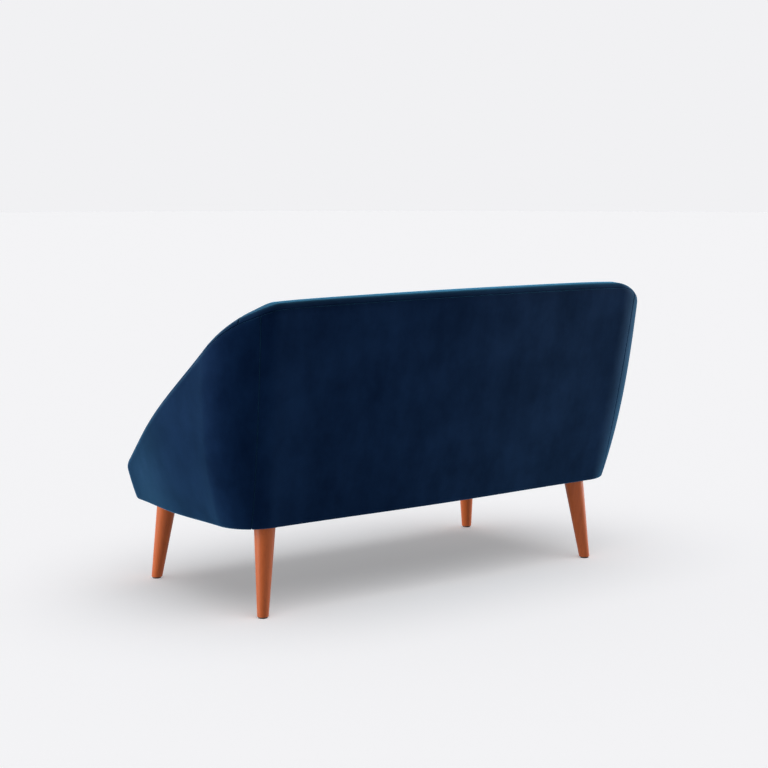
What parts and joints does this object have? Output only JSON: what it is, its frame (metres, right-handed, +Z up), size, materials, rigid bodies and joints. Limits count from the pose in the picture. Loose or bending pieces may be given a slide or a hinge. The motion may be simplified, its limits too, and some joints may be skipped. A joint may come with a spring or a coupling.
{
  "type": "two-seat sofa",
  "caption": "Compact two-seat sofa with a wrap-around velvet shell, arms sloping down to rounded noses, a loose seat cushion and splayed turned wooden legs.",
  "frame": {"origin": "on the floor, at the middle of the base between the four legs' sides, under the middle of the overall box", "axes": "+Z up, the seat opens towards -Y, +X is the sitter's left"},
  "size_m": [1.3296, 0.6468, 0.75],
  "materials": {
    "velvet": "short-pile cotton velvet, deep navy blue",
    "cushion_velvet": "short-pile cotton velvet, deep navy blue, on the loose cushion",
    "leg_wood": "turned beech, warm cherry stain, satin lacquer",
    "frame_wood": "planed pine, unfinished",
    "plywood": "birch plywood, unfinished",
    "board": "hard fibreboard and upholstery card",
    "foam": "polyurethane foam with fibre wrap",
    "felt": "grey needle felt",
    "lining": "black non-woven lining",
    "webbing": "elastic upholstery webbing",
    "zip_tape": "navy zip tape with nylon coil",
    "spring_steel": "oiled spring wire",
    "zinc_steel": "zinc-plated steel",
    "nylon": "dark moulded nylon"
  },
  "bodies": {
    "frame": {"leg_front_left": "leg_wood", "leg_front_right": "leg_wood", "leg_rear_left": "leg_wood", "leg_rear_right": "leg_wood", "leg_bolts": "zinc_steel", "tee_nuts": "zinc_steel", "leg_glides": "nylon", "front_rail": "frame_wood", "rear_rail": "frame_wood", "side_rail_left": "frame_wood", "side_rail_right": "frame_wood", "cross_rail": "frame_wood", "corner_blocks": "frame_wood", "back_posts": "frame_wood", "back_top_rail": "frame_wood", "back_tack_rail": "frame_wood", "arm_panel_left": "plywood", "arm_panel_right": "plywood", "corner_ribs_left": "plywood", "corner_ribs_right": "plywood", "seat_springs": "spring_steel", "spring_clips": "zinc_steel", "back_webbing": "webbing", "deck_felt": "felt", "deck_foam": "foam", "deck_cloth": "lining", "back_pad": "foam", "corner_pad_left": "foam", "corner_pad_right": "foam", "arm_pad_left": "foam", "arm_pad_right": "foam", "nose_pad_left": "foam", "nose_pad_right": "foam", "border_pad": "foam", "back_board": "board", "side_board_left": "board", "side_board_right": "board", "outer_back_cover": "velvet", "outer_side_cover_left": "velvet", "outer_side_cover_right": "velvet", "inner_back_cover": "velvet", "inner_arm_cover_left": "velvet", "inner_arm_cover_right": "velvet", "front_border_cover": "velvet", "dust_cloth": "lining"},
    "cushion": {"cushion_core": "foam", "cushion_cover": "cushion_velvet", "cushion_zip": "zip_tape"}
  },
  "joints": [
    {"name": "cushion_lift", "type": "slide", "parent": "frame", "child": "cushion", "axis": [0, 0, 1], "range_m": [0, 0.46]}
  ]
}
